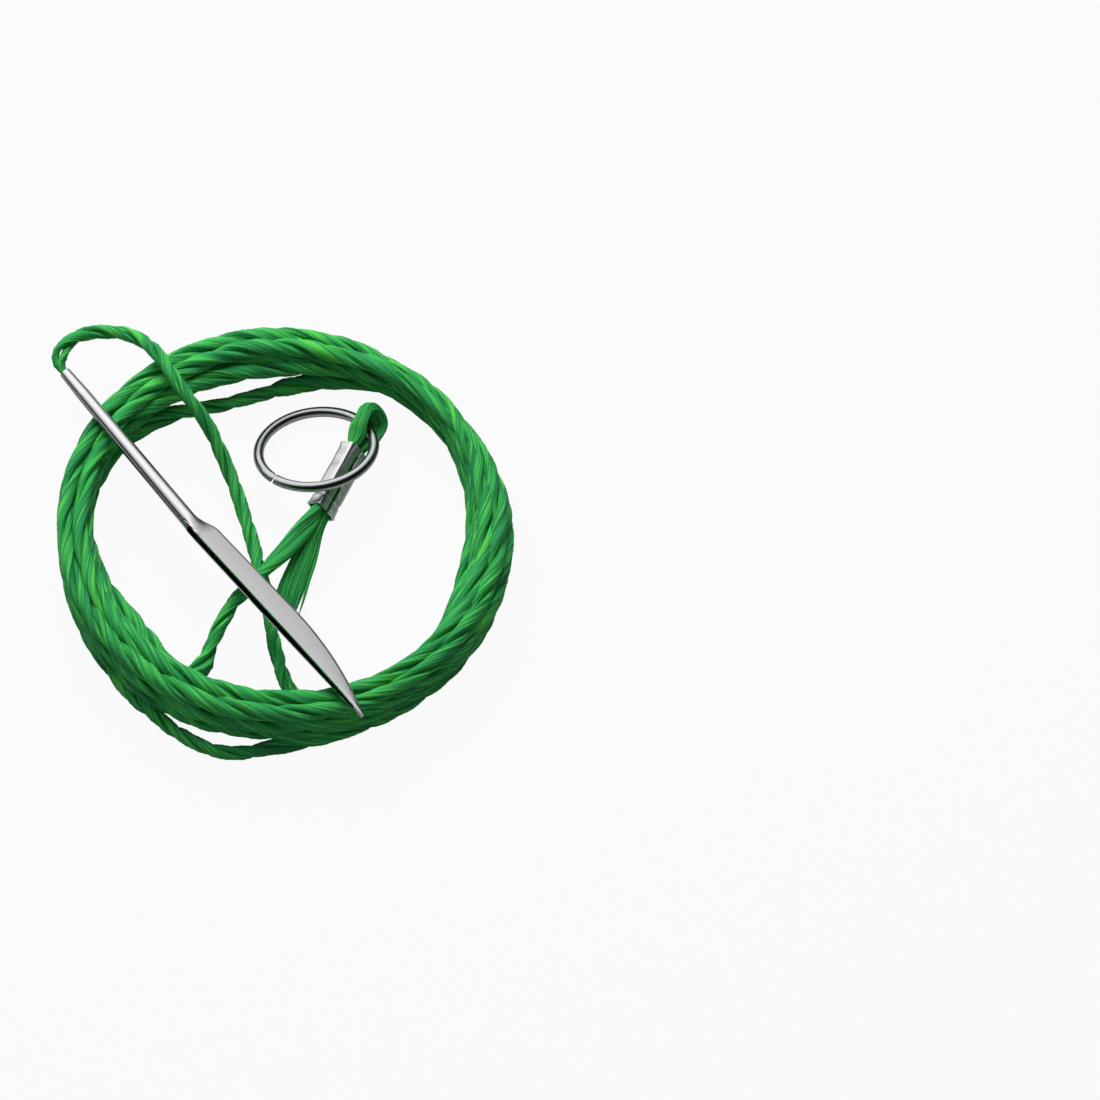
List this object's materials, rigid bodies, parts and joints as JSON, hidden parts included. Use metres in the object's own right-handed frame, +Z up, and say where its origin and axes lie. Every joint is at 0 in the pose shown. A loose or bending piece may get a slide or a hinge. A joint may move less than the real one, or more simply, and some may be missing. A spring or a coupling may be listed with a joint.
{
  "type": "fish stringer",
  "caption": "Fish stringer: a long green cord with a folded steel needle on one end and a wire ring in a crimped eye on the other, wound into a flat coil.",
  "frame": {"origin": "on the floor under the middle of the coil", "axes": "+Z up; +X to the right and +Y away from the viewer in the picture"},
  "size_m": [0.1041, 0.1033, 0.0168],
  "materials": {
    "cord": "two-ply twisted multifilament cord with a satin sheen",
    "needle_steel": "bright rolled sheet steel",
    "ferrule_steel": "galvanised sheet steel, slightly frosted",
    "ring_steel": "bright plated wire"
  },
  "bodies": {
    "coil": {"cord_coil": "cord", "cord_needle_tail": "cord", "cord_ring_tail": "cord", "cord_frayed_end": "cord"},
    "needle": {"needle": "needle_steel", "cord_needle_end": "cord"},
    "ferrule": {"ferrule": "ferrule_steel", "cord_eye": "cord"},
    "ring": {"ring": "ring_steel"}
  },
  "joints": [
    {"name": "needle_lift", "type": "hinge", "parent": "coil", "child": "needle", "pos_m": [-0.0498, 0.0377, 0.01447], "axis": [-0.8059, -0.592, 0], "range_deg": [0, 80]},
    {"name": "ferrule_lift", "type": "hinge", "parent": "coil", "child": "ferrule", "pos_m": [0.00762, 0.00617, 0.00886], "axis": [0.9114, -0.4115, 0], "range_deg": [0, 70]},
    {"name": "ring_swing", "type": "hinge", "parent": "ferrule", "child": "ring", "pos_m": [0.01825, 0.02848, 0.00461], "axis": [-0.4923, 0.8044, -0.3326], "range_deg": [0, 60]}
  ]
}
